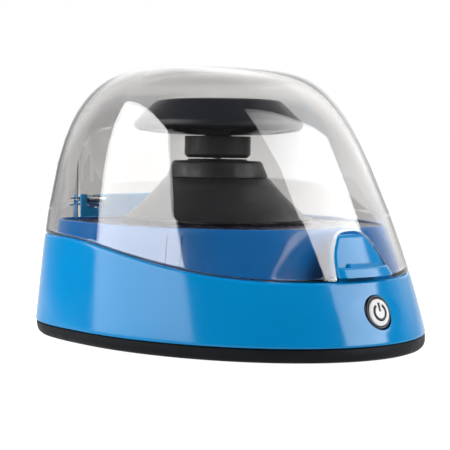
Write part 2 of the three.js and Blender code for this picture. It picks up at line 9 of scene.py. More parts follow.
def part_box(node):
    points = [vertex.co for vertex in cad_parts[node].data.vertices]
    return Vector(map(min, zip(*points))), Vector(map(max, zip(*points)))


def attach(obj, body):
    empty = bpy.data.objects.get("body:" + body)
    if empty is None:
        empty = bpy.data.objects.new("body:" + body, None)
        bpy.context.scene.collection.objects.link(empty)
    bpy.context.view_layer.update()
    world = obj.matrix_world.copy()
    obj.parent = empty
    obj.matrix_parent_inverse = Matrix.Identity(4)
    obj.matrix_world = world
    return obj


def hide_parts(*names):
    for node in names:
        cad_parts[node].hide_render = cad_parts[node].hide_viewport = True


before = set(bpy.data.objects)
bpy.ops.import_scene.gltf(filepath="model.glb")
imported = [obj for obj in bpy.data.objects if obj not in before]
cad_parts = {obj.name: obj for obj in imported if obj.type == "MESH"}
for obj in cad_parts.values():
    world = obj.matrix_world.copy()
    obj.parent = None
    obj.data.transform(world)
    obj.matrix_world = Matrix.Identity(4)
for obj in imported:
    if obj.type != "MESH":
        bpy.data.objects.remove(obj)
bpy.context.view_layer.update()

MM = 0.001


def box_mm(node):
    """A CAD node's lowest and highest corners, in millimetres."""
    low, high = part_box(node)
    return np.array(low) / MM, np.array(high) / MM


# ------------------------------------------------------------------ driving dimensions

# The skin that the base and the dome share: how far it reaches to each side, by height.
HEIGHT = 112.7
DATUM_Y = 5.15
WIDEST_Y = 17.9
SIDE = {"reach": 74.9, "draft": 0.116, "power": 3.3, "root": 5.83}
REAR = {"reach": 74.85, "draft": 0.013, "power": 5.2, "root": 4.3}
FRONT = {"reach": 85.4, "draft": 0.315, "power": 1.71, "root": 2.33}
FRONT_PLAN_POWER = {"at_base": 1.977, "per_mm": 0.0017}
REAR_PLAN_POWER = 3.18

SEAM = {"front_z": 29.3, "rear_z": 41.9, "start_y": -62.6, "end_y": 39.8}
SEAM_GAP = 0.5
SHELL_WALL = 2.6
LID_WALL = 2.2
BOWL_INSET = 3.2
BOWL_WALL = 2.0
DECK_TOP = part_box("bowl")[1][2] / MM
BOWL_REAR_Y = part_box("bowl")[1][1] / MM
POCKET_Y = -51.6

ROTOR_Y = (box_mm("rotor_disc")[0][1] + box_mm("rotor_disc")[1][1]) / 2
HINGE_Y, HINGE_Z = ((box_mm("hinge_pin")[0] + box_mm("hinge_pin")[1]) / 2)[1:]
RECESS = {"half_width": 36.5, "top_y": 72.4, "top_z": 77, "lean": 0.052}
ARMS = [(-31, -24), (24, 31)]
NOTCH = {
    "low": (15.3, 29.3), "bulge": (14.1, 39.6), "high": (9.6, 44.3), "shoulder": (8.4, 47.2), "top_z": 48.1,
}
TAB_GAP = 0.4
TAB_TOP_GAP = 1.6
TAB_LOW_Z = 31.1
LIP = {"height": 3.6, "half_width": 14.5, "taper": 0.6}

FOOT_NAMES = ("foot_front_left", "foot_front_right", "foot_rear_left", "foot_rear_right")
BASE_LOW_Z = 5.9
BASE_STRAIGHT_Z = 6.6
ROTOR_SOCKETS = {"count": 8, "radius": 5.5, "tilt": math.radians(41), "ring_radius": 18, "ring_z": 99}
PIN_CLEARANCE_RADIUS = 1.85

BUTTON_Z = 17.9
BUTTON_TILT = math.radians(18)
BUTTON_RADIUS = 5.3
BEZEL_RADIUS = 6.8
DISH = {"half_width": 14.2, "half_height": 7.6, "depth": 0.5}
BUTTON_DOME = 0.7
JACK_Z = 18.0

# The camera, fitted to the view: where it stands and looks, its roll, and its lens.
CAMERA = {
    "place": (-383.67, -415.60, 80.90), "forward": (0.66331, 0.74593, -0.06003),
    "roll": math.radians(0.98), "lens": 108.1,
}


# ------------------------------------------------------------------ the skin

def reach(side, z, inset):
    share = np.clip(z / (HEIGHT - inset), 0, 1)
    return (side["reach"] - inset - side["draft"] * z) * (1 - share ** side["power"]) ** (1 / side["root"])


def front_y(z, inset=0.0):
    return DATUM_Y - reach(FRONT, z, inset)


def rear_y(z, inset=0.0):
    return DATUM_Y + reach(REAR, z, inset)


def skin(angles, z, inset=0.0):
    """Points of the skin at these plan angles, at height z (a number or one per angle)."""
    angles = np.asarray(angles, float)
    z = np.broadcast_to(np.asarray(z, float), angles.shape)
    front = np.sin(angles) < 0
    along = np.where(front, WIDEST_Y - front_y(z, inset), np.maximum(rear_y(z, inset) - WIDEST_Y, 0.5))
    power = np.where(front, FRONT_PLAN_POWER["at_base"] + FRONT_PLAN_POWER["per_mm"] * z, REAR_PLAN_POWER)
    across = np.abs(np.cos(angles) / reach(SIDE, z, inset)) ** power
    radius = (across + np.abs(np.sin(angles) / along) ** power) ** (-1 / power)
    return np.stack([radius * np.cos(angles), WIDEST_Y + radius * np.sin(angles), z], axis=1)


def seam_z(y):
    share = np.clip((y - SEAM["start_y"]) / (SEAM["end_y"] - SEAM["start_y"]), 0, 1)
    return SEAM["front_z"] + (SEAM["rear_z"] - SEAM["front_z"]) * share * share * (3 - 2 * share)


def seam_ring(angles, shift, inset=0.0):
    """The height of the seam, moved up by shift, where the skin meets it at each angle."""
    z = np.full(len(angles), 36.0)
    for _ in range(12):
        z = seam_z(skin(angles, z, inset)[:, 1]) + shift
    return z


def plan_angles(count, fine_step=0.0, fine_reach=0.0):
    """Plan angles all the way round, with a finer stretch across the front."""
    if not fine_step:
        return np.linspace(0, 2 * math.pi, count, endpoint=False)
    start, end = math.radians(270 - fine_reach), math.radians(270 + fine_reach)
    coarse = np.linspace(end, start + 2 * math.pi, count, endpoint=False)
    fine = np.arange(start, end, math.radians(fine_step))
    return np.concatenate([fine, coarse])


# ------------------------------------------------------------------ mesh helpers

def link(obj):
    bpy.context.scene.collection.objects.link(obj)
    return obj


def make_object(name, points, faces):
    mesh = bpy.data.meshes.new(name)
    mesh.from_pydata((np.asarray(points, float) * MM).tolist(), [], faces)
    return link(bpy.data.objects.new(name, mesh))


def wrap_faces(rings, count, first=0):
    """Quads between rings that each close on themselves."""
    faces = []
    for row in range(rings - 1):
        a, b = first + row * count, first + (row + 1) * count
        faces += [(a + i, a + (i + 1) % count, b + (i + 1) % count, b + i) for i in range(count)]
    return faces


def closed_band(name, rings):
    """A band whose section is a loop: the last ring joins the first."""
    count = len(rings[0])
    faces = wrap_faces(len(rings), count)
    last = (len(rings) - 1) * count
    faces += [(last + i, last + (i + 1) % count, (i + 1) % count, i) for i in range(count)]
    return face_out(make_object(name, np.concatenate(rings), faces))


def capped(name, rings):
    """A solid through rings from one end to the other, with a fan at each end."""
    count = len(rings[0])
    points = np.concatenate(rings)
    centres = np.array([rings[0].mean(axis=0), rings[-1].mean(axis=0)])
    faces = wrap_faces(len(rings), count)
    low, high = len(points), len(points) + 1
    last = (len(rings) - 1) * count
    faces += [(low, (i + 1) % count, i) for i in range(count)]
    faces += [(high, last + i, last + (i + 1) % count) for i in range(count)]
    return face_out(make_object(name, np.concatenate([points, centres]), faces))


def face_out(obj):
    bm = bmesh.new()
    bm.from_mesh(obj.data)
    bmesh.ops.recalc_face_normals(bm, faces=bm.faces)
    if bm.calc_volume(signed=True) < 0:
        bmesh.ops.reverse_faces(bm, faces=bm.faces)
    bm.to_mesh(obj.data)
    bm.free()
    return obj


def lathe(name, profile, place=(0, 0, 0), axis=(0, 0, 1), sides=128):
    """A closed profile of (radius, height) turned round an axis; a radius of 0 closes on the axis."""
    turns = np.linspace(0, 2 * math.pi, sides, endpoint=False)
    points, faces, rows = [], [], []
    for radius, height in profile:
        if radius == 0:
            rows.append([len(points)])
            points.append((0, 0, height))
        else:
            rows.append(list(range(len(points), len(points) + sides)))
            points += [(radius * math.cos(t), radius * math.sin(t), height) for t in turns]
    on_axis = profile[0][0] == 0
    for k in range(len(rows) - 1 if on_axis else len(rows)):
        a, b = rows[k], rows[(k + 1) % len(rows)]
        for i in range(sides):
            j = (i + 1) % sides
            corners = [a[i % len(a)], a[j % len(a)], b[j % len(b)], b[i % len(b)]]
            faces.append([c for n, c in enumerate(corners) if c not in corners[:n]])
    obj = make_object(name, points, [f for f in faces if len(f) > 2])
    turn = Vector((0, 0, 1)).rotation_difference(Vector(axis)).to_matrix().to_4x4()
    obj.data.transform(Matrix.Translation(Vector(place) * MM) @ turn)
    return face_out(obj)


def rounded(profile, radius, steps=4):
    """A closed profile with each corner between two straight runs turned into an arc."""
    points = []
    count = len(profile)
    for i, (x, z) in enumerate(profile):
        here = Vector((x, z))
        before = Vector(profile[i - 1]) - here
        after = Vector(profile[(i + 1) % count]) - here
        size = min(radius, before.length * 0.45, after.length * 0.45)
        if x == 0 or size < 1e-3:
            points.append((x, z))
            continue
        start, end = here + before.normalized() * size, here + after.normalized() * size
        for k in range(steps + 1):
            t = k / steps
            spot = start.lerp(here, t).lerp(here.lerp(end, t), t)
            points.append((spot.x, spot.y))
    return points


def block(name, low, high):
    x0, y0, z0 = low
    x1, y1, z1 = high
    points = [(x, y, z) for z in (z0, z1) for y in (y0, y1) for x in (x0, x1)]
    faces = [(0, 2, 3, 1), (4, 5, 7, 6), (0, 1, 5, 4), (2, 6, 7, 3), (0, 4, 6, 2), (1, 3, 7, 5)]
    return make_object(name, points, faces)


def prism(name, outline, start, end, axis="y"):
    """An outline extruded along X or Y; the outline is (x, z) for Y and (y, z) for X."""
    count = len(outline)
    if axis == "y":
        points = [(a, d, b) for d in (start, end) for a, b in outline]
    else:
        points = [(d, a, b) for d in (start, end) for a, b in outline]
    faces = [tuple(range(count)), tuple(range(2 * count - 1, count - 1, -1))]
    faces += [(i, (i + 1) % count, count + (i + 1) % count, count + i) for i in range(count)]
    return face_out(make_object(name, points, faces))


def rod(name, start, end, radius, sides=48):
    along = Vector(end) - Vector(start)
    return lathe(name, [(0, 0), (radius, 0), (radius, along.length), (0, along.length)], start, along, sides)


def bake(obj):
    graph = bpy.context.evaluated_depsgraph_get()
    mesh = bpy.data.meshes.new_from_object(obj.evaluated_get(graph))
    obj.modifiers.clear()
    obj.data = mesh
    return obj


def combine(target, tools, operation="DIFFERENCE"):
    """Cuts the tools out of target, or joins or intersects them with it."""
    for tool in tools:
        step = target.modifiers.new("combine", "BOOLEAN")
        step.operation = operation
        step.solver = "EXACT"
        step.object = tool
    bake(target)
    for tool in tools:
        bpy.data.objects.remove(tool)
    return target


def soften(obj, width, segments=3, angle=35):
    """Small rounds on the sharp edges."""
    step = obj.modifiers.new("round", "BEVEL")
    step.width = width * MM
    step.segments = segments
    step.limit_method = "ANGLE"
    step.angle_limit = math.radians(angle)
    step.harden_normals = False
    return obj


def shade(obj, angle=40):
    obj.data.shade_smooth()
    obj.data.set_sharp_from_angle(angle=math.radians(angle))
    return obj


def finish_piece(obj, body, material, replaced=(), angle=40):
    obj.data.materials.clear()
    obj.data.materials.append(material)
    shade(obj, angle)
    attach(obj, body)
    if replaced:
        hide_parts(*replaced)
    return obj


# ------------------------------------------------------------------ materials

class Nodes:
    """A material's node tree, built a node at a time."""

    def __init__(self, name):
        self.material = bpy.data.materials.new(name)
        self.material.use_nodes = True
        self.tree = self.material.node_tree
        self.tree.nodes.clear()
        self.output = self.tree.nodes.new("ShaderNodeOutputMaterial")
        self.shader = self.add("ShaderNodeBsdfPrincipled")
        self.link(self.shader.outputs[0], self.output.inputs["Surface"])
        self.place = self.add("ShaderNodeTexCoord").outputs["Object"]

    def add(self, kind, **settings):
        node = self.tree.nodes.new(kind)
        for key, value in settings.items():
            setattr(node, key, value)
        return node

    def link(self, start, end):
        self.tree.links.new(start, end)

    def noise(self, scale, detail=3.0, roughness=0.5):
        node = self.add("ShaderNodeTexNoise")
        node.inputs["Scale"].default_value = scale
        node.inputs["Detail"].default_value = detail
        node.inputs["Roughness"].default_value = roughness
        self.link(self.place, node.inputs["Vector"])
        return node.outputs["Fac"]

    def spread(self, value, low, high, start=0.3, end=0.7):
        node = self.add("ShaderNodeMapRange")
        node.inputs["From Min"].default_value = start
        node.inputs["From Max"].default_value = end
        node.inputs["To Min"].default_value = low
        node.inputs["To Max"].default_value = high
        self.link(value, node.inputs["Value"])
        return node.outputs["Result"]

    def colours(self, value, low, high, start=0.35, end=0.65):
        node = self.add("ShaderNodeValToRGB")
        first, last = node.color_ramp.elements
        first.position, last.position = start, end
        first.color, last.color = (*low, 1), (*high, 1)
        self.link(value, node.inputs["Fac"])
        return node.outputs["Color"]

    def bump(self, value, distance):
        node = self.add("ShaderNodeBump")
        node.inputs["Distance"].default_value = distance * MM
        node.inputs["Strength"].default_value = 1.0
        self.link(value, node.inputs["Height"])
        self.link(node.outputs["Normal"], self.shader.inputs["Normal"])

    def set(self, name, value):
        self.shader.inputs[name].default_value = value


def plastic(name, colour, roughness, grain, grain_scale=1500, variation=0.06, specular=0.5):
    """Moulded plastic: faint colour drift, uneven gloss, and a fine moulded grain."""
    made = Nodes(name)
    low = tuple(c * (1 - variation) for c in colour)
    high = tuple(min(c * (1 + variation), 1) for c in colour)
    made.link(made.colours(made.noise(45), low, high), made.shader.inputs["Base Color"])
    gloss = made.spread(made.noise(160, 4), roughness * 0.85, roughness * 1.2)
    made.link(gloss, made.shader.inputs["Roughness"])
    made.set("Specular IOR Level", specular)
    made.bump(made.noise(grain_scale, 4, 0.6), grain)
    return made.material


def metal(name, colour, roughness, stretch=(1, 1, 30)):
    """Turned or drawn metal with fine lines along one axis."""
    made = Nodes(name)
    mapping = made.add("ShaderNodeMapping")
    mapping.inputs["Scale"].default_value = stretch
    made.link(made.place, mapping.inputs["Vector"])
    made.place = mapping.outputs["Vector"]
    lines = made.noise(900, 3)
    groove = tuple(c * 0.85 for c in colour)
    made.link(made.colours(lines, groove, colour), made.shader.inputs["Base Color"])
    made.link(made.spread(lines, roughness * 0.8, roughness * 1.3), made.shader.inputs["Roughness"])
    made.set("Metallic", 1.0)
    made.bump(lines, 0.01)
    return made.material


def clear_plastic(name, tint, roughness, clear=1.0):
    """Smoky clear polycarbonate that lets the light through to what is under it."""
    made = Nodes(name)
    cloud = tuple(c * 0.985 for c in tint)
    made.link(made.colours(made.noise(14), cloud, tint), made.shader.inputs["Base Color"])
    gloss = made.spread(made.noise(60, 4), roughness * 0.5, roughness * 1.5)
    made.link(gloss, made.shader.inputs["Roughness"])
    made.set("Transmission Weight", clear)
    made.set("IOR", 1.54)
    through = made.add("ShaderNodeBsdfTransparent")
    through.inputs["Color"].default_value = (*[math.sqrt(c) for c in tint], 1)
    path = made.add("ShaderNodeLightPath")
    mix = made.add("ShaderNodeMixShader")
    made.link(path.outputs["Is Shadow Ray"], mix.inputs["Fac"])
    made.link(made.shader.outputs[0], mix.inputs[1])
    made.link(through.outputs[0], mix.inputs[2])
    made.link(mix.outputs[0], made.output.inputs["Surface"])
    return made.material


def circuit_board(name):
    """Green solder mask with darker tracks."""
    made = Nodes(name)
    cells = made.add("ShaderNodeTexBrick")
    cells.inputs["Scale"].default_value = 220
    cells.inputs["Color1"].default_value = (0.012, 0.11, 0.045, 1)
    cells.inputs["Color2"].default_value = (0.016, 0.14, 0.06, 1)
    cells.inputs["Mortar"].default_value = (0.01, 0.07, 0.03, 1)
    made.link(made.place, cells.inputs["Vector"])
    made.link(cells.outputs["Color"], made.shader.inputs["Base Color"])
    made.link(made.spread(made.noise(300), 0.3, 0.5), made.shader.inputs["Roughness"])
    made.bump(cells.outputs["Fac"], 0.03)
    return made.material


BLUE = plastic(
    "blue gloss plastic", (0.0, 0.178, 0.42), 0.13, grain=0.003, grain_scale=2500, variation=0.03,
    specular=0.3)
# Painted shade: the base's blue plastic darkened for the bowl, whose wall lies in shade under the lid.
BOWL_SHADED_BLUE = plastic(
    "blue satin plastic darkened as painted shade", (0.0, 0.095, 0.3), 0.22, grain=0.01, grain_scale=1800, variation=0.05)
# Partly painted highlight: pale and half diffuse, so the notch's cut faces show as a bright line. Their satin
# gloss is their own.
NOTCH_EDGE_HIGHLIGHT = clear_plastic("satin clear edge lightened as painted highlight", (0.8, 0.86, 0.92), 0.3, clear=0.5)
# Painted shade: clear plastic darkened for the scoop's side walls, which look dark edge on.
EDGE_ON_SHADE = clear_plastic("clear plastic darkened as painted shade", (0.3, 0.31, 0.35), 0.02)
CLEAR = clear_plastic("smoky clear plastic", (0.845, 0.835, 0.825), 0.02)
BASE_BLACK = plastic(
    "black base plastic", (0.004, 0.005, 0.007), 0.5, grain=0.06, variation=0.2, specular=0.12)
# Painted light: the blue plastic brightened for the hinge block and its shields, which sit in shade inside
# the lid.
HINGE_LIT_BLUE = plastic(
    "blue plastic brightened as painted light", (0.0, 0.4, 0.9), 0.25, grain=0.01, grain_scale=1800, variation=0.05)
# Painted shade: near black for the bowl's deck, which lies in shade inside the lid.
DECK_SHADE = plastic(
    "deck plastic darkened as painted shade", (0.014, 0.012, 0.03), 0.25, grain=0.01, variation=0.15, specular=0.3)
SATIN_BLACK = plastic(
    "satin black plastic", (0.008, 0.008, 0.0095), 0.42, grain=0.03, grain_scale=1400, variation=0.15,
    specular=0.35)
ROTOR_BLACK = plastic(
    "rotor plastic", (0.004, 0.005, 0.008), 0.34, grain=0.02, grain_scale=1200, variation=0.15, specular=0.35)
GREY_BAND = plastic(
    "worn black plastic", (0.008, 0.008, 0.010), 0.45, grain=0.03, grain_scale=1400, variation=0.15,
    specular=0.35)
GREY_CAP = plastic(
    "grey grained plastic", (0.5, 0.5, 0.5), 0.45, grain=0.12, grain_scale=2200, variation=0.25)
GLOSS_BLACK = plastic(
    "gloss black plastic", (0.006, 0.008, 0.014), 0.2, grain=0.004, variation=0.2, specular=0.25)
RUBBER = plastic(
    "rubber", (0.012, 0.012, 0.012), 0.75, grain=0.1, grain_scale=900, variation=0.3, specular=0.3)
RED_LEAD = plastic("red lead", (0.4, 0.02, 0.02), 0.5, grain=0.03, variation=0.15)
BOARD = circuit_board("circuit board")
STEEL = metal("steel", (0.62, 0.63, 0.64), 0.22)
MOTOR_STEEL = metal("motor can", (0.45, 0.46, 0.47), 0.34, stretch=(1, 1, 12))


# ------------------------------------------------------------------ base

def button_frame():
    """Where the button sits on the front skin, and the axis that it is pressed along."""
    axis = Vector((0, -math.cos(BUTTON_TILT), math.sin(BUTTON_TILT)))
    return Vector((0, float(front_y(np.array(BUTTON_Z))), BUTTON_Z)), axis


def dish_depth(points):
    """How deep the oval dip round the button is at each of these points, with a soft rim."""
    seat, axis = button_frame()
    up = Vector((0, math.sin(BUTTON_TILT), math.cos(BUTTON_TILT)))
    offset = points - np.array(seat)
    across = offset[:, 0] / DISH["half_width"]
    along = offset @ np.array(up) / DISH["half_height"]
    inside = 1 - across ** 2 - along ** 2
    sharpness = 16
    depth = np.log1p(np.exp(np.clip(sharpness * inside, -40, 40))) / sharpness
    return np.where(points[:, 1] < 0, DISH["depth"] * depth, 0)


def make_base():
    """The blue shell, with the dip round the button and holes for the button and the power socket."""
    angles = plan_angles(150, 0.35, 13)
    top = seam_ring(angles, 0)
    foot = [
        (SHELL_WALL, BASE_STRAIGHT_Z), (SHELL_WALL - 0.3, BASE_LOW_Z), (0.7, BASE_LOW_Z),
        (0.25, BASE_LOW_Z + 0.2), (0, BASE_STRAIGHT_Z),
    ]
    rings = [skin(angles, z, inset) for inset, z in foot]
    for share in np.linspace(0, 1, 44)[1:]:
        z = BASE_STRAIGHT_Z + (top - 0.8 - BASE_STRAIGHT_Z) * share
        ring = skin(angles, z)
        outward = ring - skin(angles, z, 1.0)
        ring[:, :2] -= (outward * dish_depth(ring)[:, None])[:, :2]
        rings.append(ring)
    edge = [(0.06, 0.5), (0.22, 0.22), (0.5, 0.06), (0.8, 0), (SHELL_WALL - 0.6, 0), (SHELL_WALL, 0.6)]
    rings += [skin(angles, top - down, inset) for inset, down in edge]
    rings.append(skin(angles, (top + BASE_STRAIGHT_Z) / 2, SHELL_WALL))
    base = closed_band("base_skin", rings)
    seat, axis = button_frame()
    button_hole = rod("hole", seat - axis * 9, seat + axis * 5, BEZEL_RADIUS + 0.25, 64)
    jack_hole = rod("hole", (0, 70, JACK_Z), (0, 90, JACK_Z), 5.1, 48)
    combine(base, [button_hole, jack_hole])
    return finish_piece(base, "base", BLUE, ["base_shell"], angle=32)


def make_latch_ears():
    """The two ears inside the base that carry the latch's pin."""
    low, high = box_mm("latch_pin")
    y, z = (low[1] + high[1]) / 2, (low[2] + high[2]) / 2
    for side in (-1, 1):
        x0, x1 = sorted((side * 13, side * 16))
        ear = block("ear", (x0, y - 4.4, z - 5), (x1, y + 3, z + 3))
        combine(ear, [rod("hole", (x0 - 1, y, z), (x1 + 1, y, z), 1.5)])
        ear.name = "latch_ear_left" if side < 0 else "latch_ear_right"
        finish_piece(soften(ear, 0.3), "base", BLUE)


def make_base_plate():
    """The black pan under the base, with wells for the feet and screws and slots for air."""
    angles = plan_angles(200)
    section = [
        (9, 0.4), (3.6, 0.4), (2.5, 0.75), (1.6, 1.5), (1.0, 2.6), (0.62, 4.0), (0.42, 5.2), (0.8, 5.6),
        (5.0, 5.6),
    ]
    rings = [skin(angles, z, inset) for inset, z in section]
    rings += [skin(angles, 3.1, 5.4), skin(angles, 3.1, 20)]
    plate = capped("base_pan", rings)
    cutters = []
    for name in FOOT_NAMES:
        low, high = box_mm(name)
        x, y = (low[:2] + high[:2]) / 2
        cutters.append(rod("well", (x, y, 0), (x, y, 1.8), 7.3))
    for i in range(4):
        low, high = box_mm(f"base_screw_{i + 1}")
        x, y = (low[:2] + high[:2]) / 2
        cutters.append(rod("well", (x, y, 0), (x, y, 2.2), 3.1))
        cutters.append(rod("bore", (x, y, 1), (x, y, 7), 1.8))
    for x in range(-16, 17, 8):
        cutters.append(block("vent", (x - 1, -12, 0), (x + 1, 12, 4)))
    combine(plate, cutters)
    return finish_piece(plate, "base", BASE_BLACK, ["base_plate"], angle=30)


def make_feet():
    for name in FOOT_NAMES:
        low, high = box_mm(name)
        x, y = (low[:2] + high[:2]) / 2
        profile = [(0, 0.25), (4.6, 0.25), (5.0, 0), (6.5, 0), (7.0, 0.5), (7.0, 1.5), (0, 1.5)]
        foot = lathe(name + "_pad", rounded(profile, 0.3, 3), (x, y, 0))
        finish_piece(foot, "base", RUBBER, [name])


def make_base_screws():
    """Cross-head screws, heads down."""
    for i in range(4):
        name = f"base_screw_{i + 1}"
        low, high = box_mm(name)
        x, y = (low[:2] + high[:2]) / 2
        z = low[2]
        length = high[2] - z
        head = [(0, 0.0), (1.6, 0.05), (2.4, 0.5), (2.7, 1.3), (2.6, 1.6)]
        profile = head + [(1.3, 1.6), (1.3, length - 1), (0, length)]
        screw = lathe(name + "_head", profile, (x, y, z), sides=48)
        arm, width = 1.5, 0.35
        combine(screw, [
            block("slot", (x - arm, y - width, z - 1), (x + arm, y + width, z + 0.9)),
            block("slot", (x - width, y - arm, z - 1), (x + width, y + arm, z + 0.9)),
        ])
        finish_piece(screw, "base", STEEL, [name])


# ------------------------------------------------------------------ bowl

def bowl_ring(angles, z, grow):
    """The bowl's outline, cut back behind and at the latch, with soft corners."""
    whole = skin(angles, z, BOWL_INSET + grow)
    radius = np.hypot(whole[:, 0], whole[:, 1] - WIDEST_Y)
    sines = np.sin(angles)
    rear_pull = 4.0
    far, tiny = 1e6, 1e-6
    limits = [
        radius,
        np.where(sines > 0.02, (BOWL_REAR_Y - grow - WIDEST_Y) / np.maximum(sines, tiny), far),
        np.where(sines < -0.02, (WIDEST_Y - POCKET_Y - grow) / np.maximum(-sines, tiny), far),
        np.where(sines > 0, radius - rear_pull * sines ** 2, far),
    ]
    sharpness, typical = 60, 60.0
    soft = sum((limit / typical) ** -sharpness for limit in limits) ** (-1 / sharpness) * typical
    z = np.broadcast_to(np.asarray(z, float), angles.shape)
    return np.stack([soft * np.cos(angles), WIDEST_Y + soft * np.sin(angles), z], axis=1)


def make_bowl():
    """The blue bowl with its rim, its deck darkened as painted shade, and the hole that the motor cover
    stands in; its blue is darkened as painted shade too.
    """
    angles = plan_angles(256)
    low = seam_ring(angles, -8, BOWL_INSET)
    hole_radius = 22.0
    hole = np.stack([hole_radius * np.cos(angles), ROTOR_Y + hole_radius * np.sin(angles)], axis=1)

    def towards_hole(grow, z, share):
        ring = bowl_ring(angles, z, grow)
        ring[:, :2] += (hole - ring[:, :2]) * share
        return ring

    top = DECK_TOP
    rings = [bowl_ring(angles, low + (top - 0.5 - low) * share, 0) for share in np.linspace(0, 1, 14)]
    rim = [(0.12, 0.2), (0.4, 0), (1.0, 0), (1.28, 0.2), (1.4, 0.5), (1.5, 0.9), (1.9, 1.0)]
    rings += [bowl_ring(angles, top - down, grow) for grow, down in rim]
    rings += [towards_hole(2.0, top - 1, share) for share in (0.1, 0.35, 0.6, 0.85, 0.985)]
    rings += [towards_hole(2.0, top - 1.4, 1.0), towards_hole(2.0, top - 2.3, 1.0)]
    rings += [towards_hole(2.0, top - 2.3, share) for share in (0.7, 0.3, 0.05)]
    rings.append(bowl_ring(angles, top - 3, BOWL_WALL))
    rings.append(bowl_ring(angles, low, BOWL_WALL))
    bowl = closed_band("bowl_moulding", rings)
    finish_piece(bowl, "base", BOWL_SHADED_BLUE, ["bowl"])
    # Painted shade: the deck's upward faces take the near-black deck material.
    bowl.data.materials.append(DECK_SHADE)
    for face in bowl.data.polygons:
        if face.normal.z > 0.7 and face.center.z < (DECK_TOP - 0.7) * MM:
            face.material_index = 1


def make_bowl_ribs():
    """Pairs of low ribs down the bowl's outer wall that space it from the lid's skirt."""
    for side in (-1, 1):
        for number, degrees in enumerate((211, 216)):
            angle = math.radians(degrees if side < 0 else 540 - degrees)
            foot, head = bowl_ring(np.array([angle, angle]), np.array([33.0, DECK_TOP - 3]), -0.1)
            rib = lathe("rib", rounded([(0, 0), (0.35, 0), (0.35, 1), (0, 1)], 0.1), sides=12)
            along = Vector(head) - Vector(foot)
            turn = Vector((0, 0, 1)).rotation_difference(along).to_matrix().to_4x4()
            size = Matrix.Diagonal((1, 1, along.length, 1))
            rib.data.transform(Matrix.Translation(Vector(foot) * MM) @ turn @ size)
            rib.name = f"bowl_rib_{'left' if side < 0 else 'right'}_{number + 1}"
            # Painted shade: the ribs take the bowl's darkened blue.
            finish_piece(rib, "base", BOWL_SHADED_BLUE)


# ------------------------------------------------------------------ lid

def dome_rings(angles, inset, low_z):
    """Rings of the closed dome from low_z up, crowding towards the top, then across the crown."""
    top = HEIGHT - inset
    fractions = np.linspace(0.985, 0.3, 26)
    shares = (1 - fractions ** SIDE["root"]) ** (1 / SIDE["power"])
    rings = []
    for share in np.linspace(0, 1, 22)[:-1]:
        rings.append(skin(angles, low_z + (shares[0] * top - low_z) * share, inset))
    rings += [skin(angles, share * top, inset) for share in shares]
    crown = rings[-1]
    centre = np.array([0, crown[:, 1].mean(), top])
    for share in (0.8, 0.6, 0.4, 0.2):
        ring = centre + (crown - centre) * share
        ring[:, 2] = top - (top - crown[0, 2]) * share ** 2
        rings.append(ring)
    return rings


def wedge(name, grow, low, high):
    """The scoop behind the lid that leaves room for the hinge, grown by this much."""
    def wall_y(z):
        return RECESS["top_y"] - RECESS["lean"] * (RECESS["top_z"] - z) - grow

    half = RECESS["half_width"] + grow
    outline = [(wall_y(low), low), (120, low), (120, high), (wall_y(high), high)]
    return prism(name, outline, -half, half, axis="x")


def notch_outline(shrink, top_shrink, steps=10):
    """The latch notch's outline, shrunk at the sides and top, from below the lid's edge."""
    low, bulge, high, shoulder = [
        Vector((NOTCH[part][0] - shrink, NOTCH[part][1] - top_shrink / 2))
        for part in ("low", "bulge", "high", "shoulder")
    ]
    top = Vector((0, NOTCH["top_z"] - top_shrink))
    mid = Vector((high.x / 2, top.y))
    side = []
    for k in range(steps + 1):
        t = k / steps
        side.append(low.lerp(bulge, t).lerp(bulge.lerp(high, t), t))
    for k in range(1, steps + 1):
        t = k / steps
        a, b, c = high.lerp(shoulder, t), shoulder.lerp(mid, t), mid.lerp(top, t)
        side.append(a.lerp(b, t).lerp(b.lerp(c, t), t))
    right = [(p.x, p.y) for p in side]
    left = [(-x, z) for x, z in reversed(right[:-1])]
    foot_z = NOTCH["low"][1] - 20
    return [(-low.x, foot_z), (low.x, foot_z)] + right + left


def make_lid():
    """The clear dome, scooped at the rear for the hinge and notched at the front for the latch."""
    angles = plan_angles(220)
    skirt = SEAM_GAP + 0.7
    outer = dome_rings(angles, 0, seam_ring(angles, skirt))
    inner = dome_rings(angles, LID_WALL, seam_ring(angles, skirt, LID_WALL))
    edge = [(LID_WALL - 0.2, 0.25), (LID_WALL - 0.6, 0), (0.6, 0), (0.2, 0.25)]
    lower = [skin(angles, seam_ring(angles, SEAM_GAP + rise, inset), inset) for inset, rise in edge]
    lid = capped("lid_dome", list(reversed(inner)) + lower + outer)
    rear_edge = SEAM["rear_z"] + SEAM_GAP
    filled = capped("filled", dome_rings(angles, 0.02, np.full(len(angles), rear_edge)))
    wall = combine(wedge("wall", LID_WALL, rear_edge + 0.01, 104), [filled], "INTERSECT")
    combine(lid, [wall], "UNION")
    combine(lid, [wedge("scoop", 0, 10, 106)])
    arms = []
    for x0, x1 in ARMS:
        arms.append(block("arm", (x0, 68.6, HINGE_Z - 2.4), (x1, HINGE_Y, HINGE_Z + 2.4)))
        arms.append(rod("knuckle", (x0 - 0.01, HINGE_Y, HINGE_Z), (x1 + 0.01, HINGE_Y, HINGE_Z), 2.8, 40))
    combine(lid, arms, "UNION")
    combine(lid, [
        prism("notch", notch_outline(0, 0), -120, -30),
        rod("pin", (-60, HINGE_Y, HINGE_Z), (60, HINGE_Y, HINGE_Z), PIN_CLEARANCE_RADIUS, 32),
    ])
    finish_piece(lid, "lid", CLEAR, ["lid"], angle=30)
    colour_lid_edges(lid)


